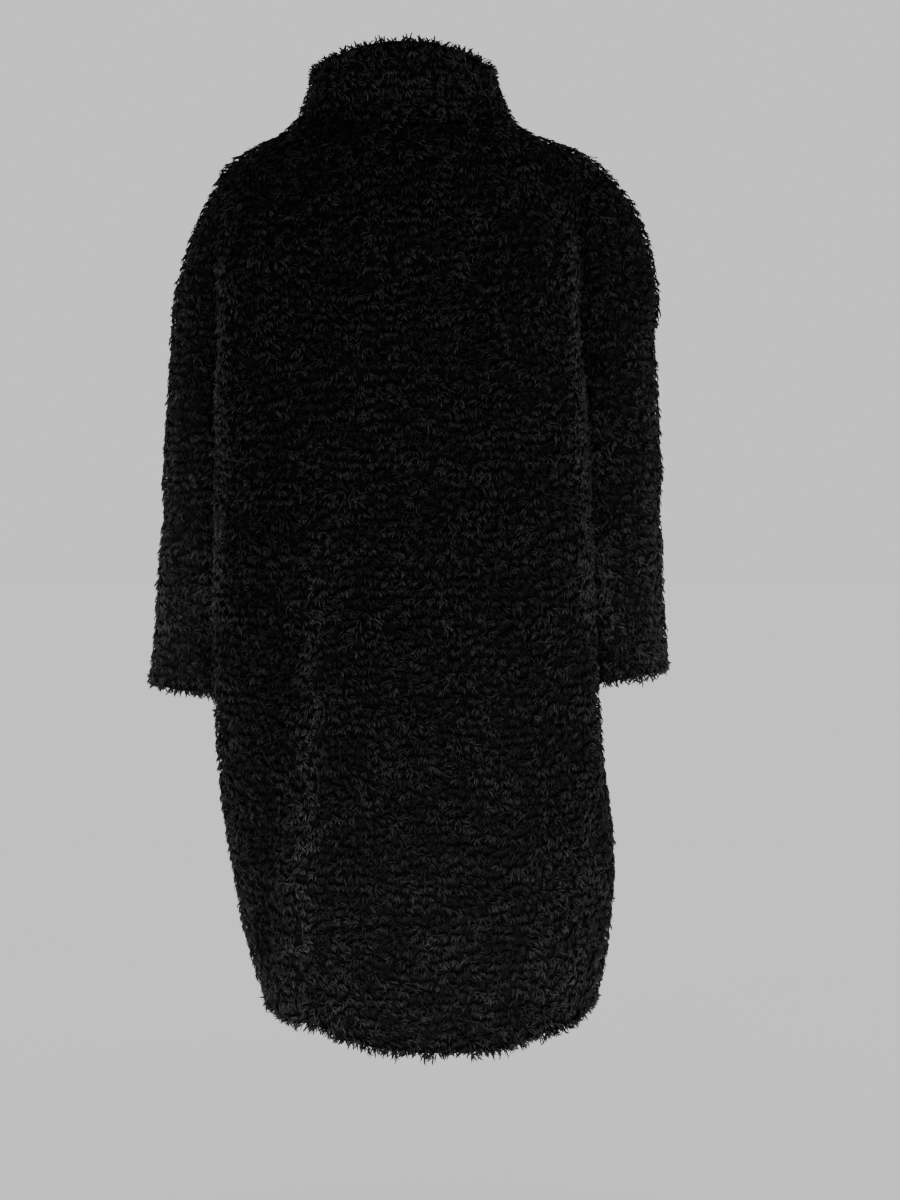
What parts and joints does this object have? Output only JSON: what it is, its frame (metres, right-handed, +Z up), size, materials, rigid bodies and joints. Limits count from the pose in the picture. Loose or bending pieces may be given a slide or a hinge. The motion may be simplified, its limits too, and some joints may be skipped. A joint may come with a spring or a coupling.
{
  "type": "teddy coat",
  "caption": "Knee-length cocoon coat of curly black pile cloth with a tall stand collar and long wide sleeves, worn closed and open at neck, cuffs and hem.",
  "frame": {"origin": "middle of the neck, level with the neck ends of the shoulder seams, where the wearer's neck and shoulders hold the coat", "axes": "+Z up, -Y towards the wearer's front, +X towards the wearer's left"},
  "size_m": [0.628, 0.3322, 1.1576],
  "materials": {
    "curly_pile": "matt curly acrylic pile with a soft sheen"
  },
  "bodies": {
    "root": {"back": "curly_pile", "front_left": "curly_pile", "front_right": "curly_pile", "sleeve_left": "curly_pile", "sleeve_right": "curly_pile", "collar": "curly_pile"}
  },
  "joints": []
}
